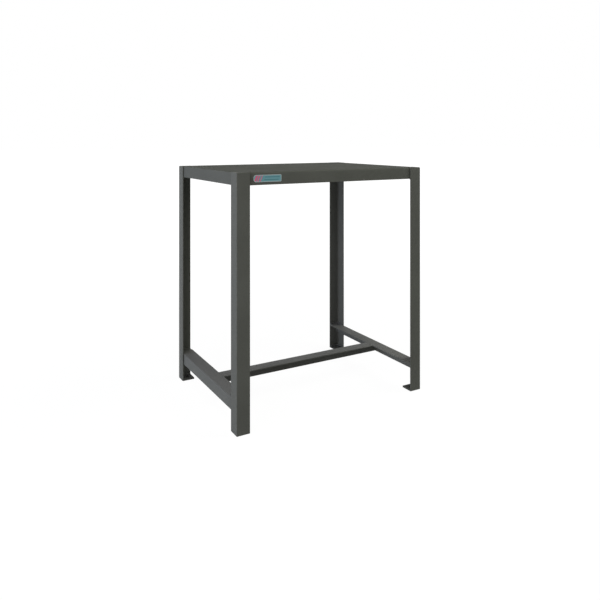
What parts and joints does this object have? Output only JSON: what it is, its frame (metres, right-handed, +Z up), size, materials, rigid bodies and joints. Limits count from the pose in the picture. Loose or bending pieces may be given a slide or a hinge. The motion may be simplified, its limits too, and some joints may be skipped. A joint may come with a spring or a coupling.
{
  "type": "machine table",
  "caption": "Welded steel machine table: a folded pan top between full-height angle legs, an H of angle stretchers near the floor and a punched pad in each foot.",
  "frame": {"origin": "on the floor, under the middle of the table's plan", "axes": "+Z up, +X to the right along the wide side, +Y from the front, which holds the label plate, to the back"},
  "size_m": [0.616, 0.4636, 0.6858],
  "materials": {
    "top_paint": "satin dark grey powder coat",
    "leg_paint": "satin dark grey powder coat",
    "stretcher_paint": "satin dark grey powder coat",
    "pad_paint": "satin dark grey powder coat",
    "weld_paint": "satin dark grey powder coat over a rippled weld bead",
    "label_face": "satin printed plate, plain colours only"
  },
  "bodies": {
    "root": {"table_top": "top_paint", "leg_front_left": "leg_paint", "leg_front_right": "leg_paint", "leg_back_left": "leg_paint", "leg_back_right": "leg_paint", "side_stretcher_left": "stretcher_paint", "side_stretcher_right": "stretcher_paint", "centre_stretcher": "stretcher_paint", "foot_pad_front_left": "pad_paint", "foot_pad_front_right": "pad_paint", "foot_pad_back_left": "pad_paint", "foot_pad_back_right": "pad_paint", "label_plate": "label_face", "weld_top_front_left": "weld_paint", "weld_top_front_right": "weld_paint", "weld_top_back_left": "weld_paint", "weld_top_back_right": "weld_paint", "weld_flange_front_left": "weld_paint", "weld_flange_front_right": "weld_paint", "weld_flange_back_left": "weld_paint", "weld_flange_back_right": "weld_paint", "weld_stretcher_front_left": "weld_paint", "weld_stretcher_front_right": "weld_paint", "weld_stretcher_back_left": "weld_paint", "weld_stretcher_back_right": "weld_paint", "weld_stretcher_end_front_left": "weld_paint", "weld_stretcher_end_front_right": "weld_paint", "weld_stretcher_end_back_left": "weld_paint", "weld_stretcher_end_back_right": "weld_paint", "weld_centre_left": "weld_paint", "weld_centre_right": "weld_paint", "weld_pad_front_left": "weld_paint", "weld_pad_front_right": "weld_paint", "weld_pad_back_left": "weld_paint", "weld_pad_back_right": "weld_paint"}
  },
  "joints": []
}
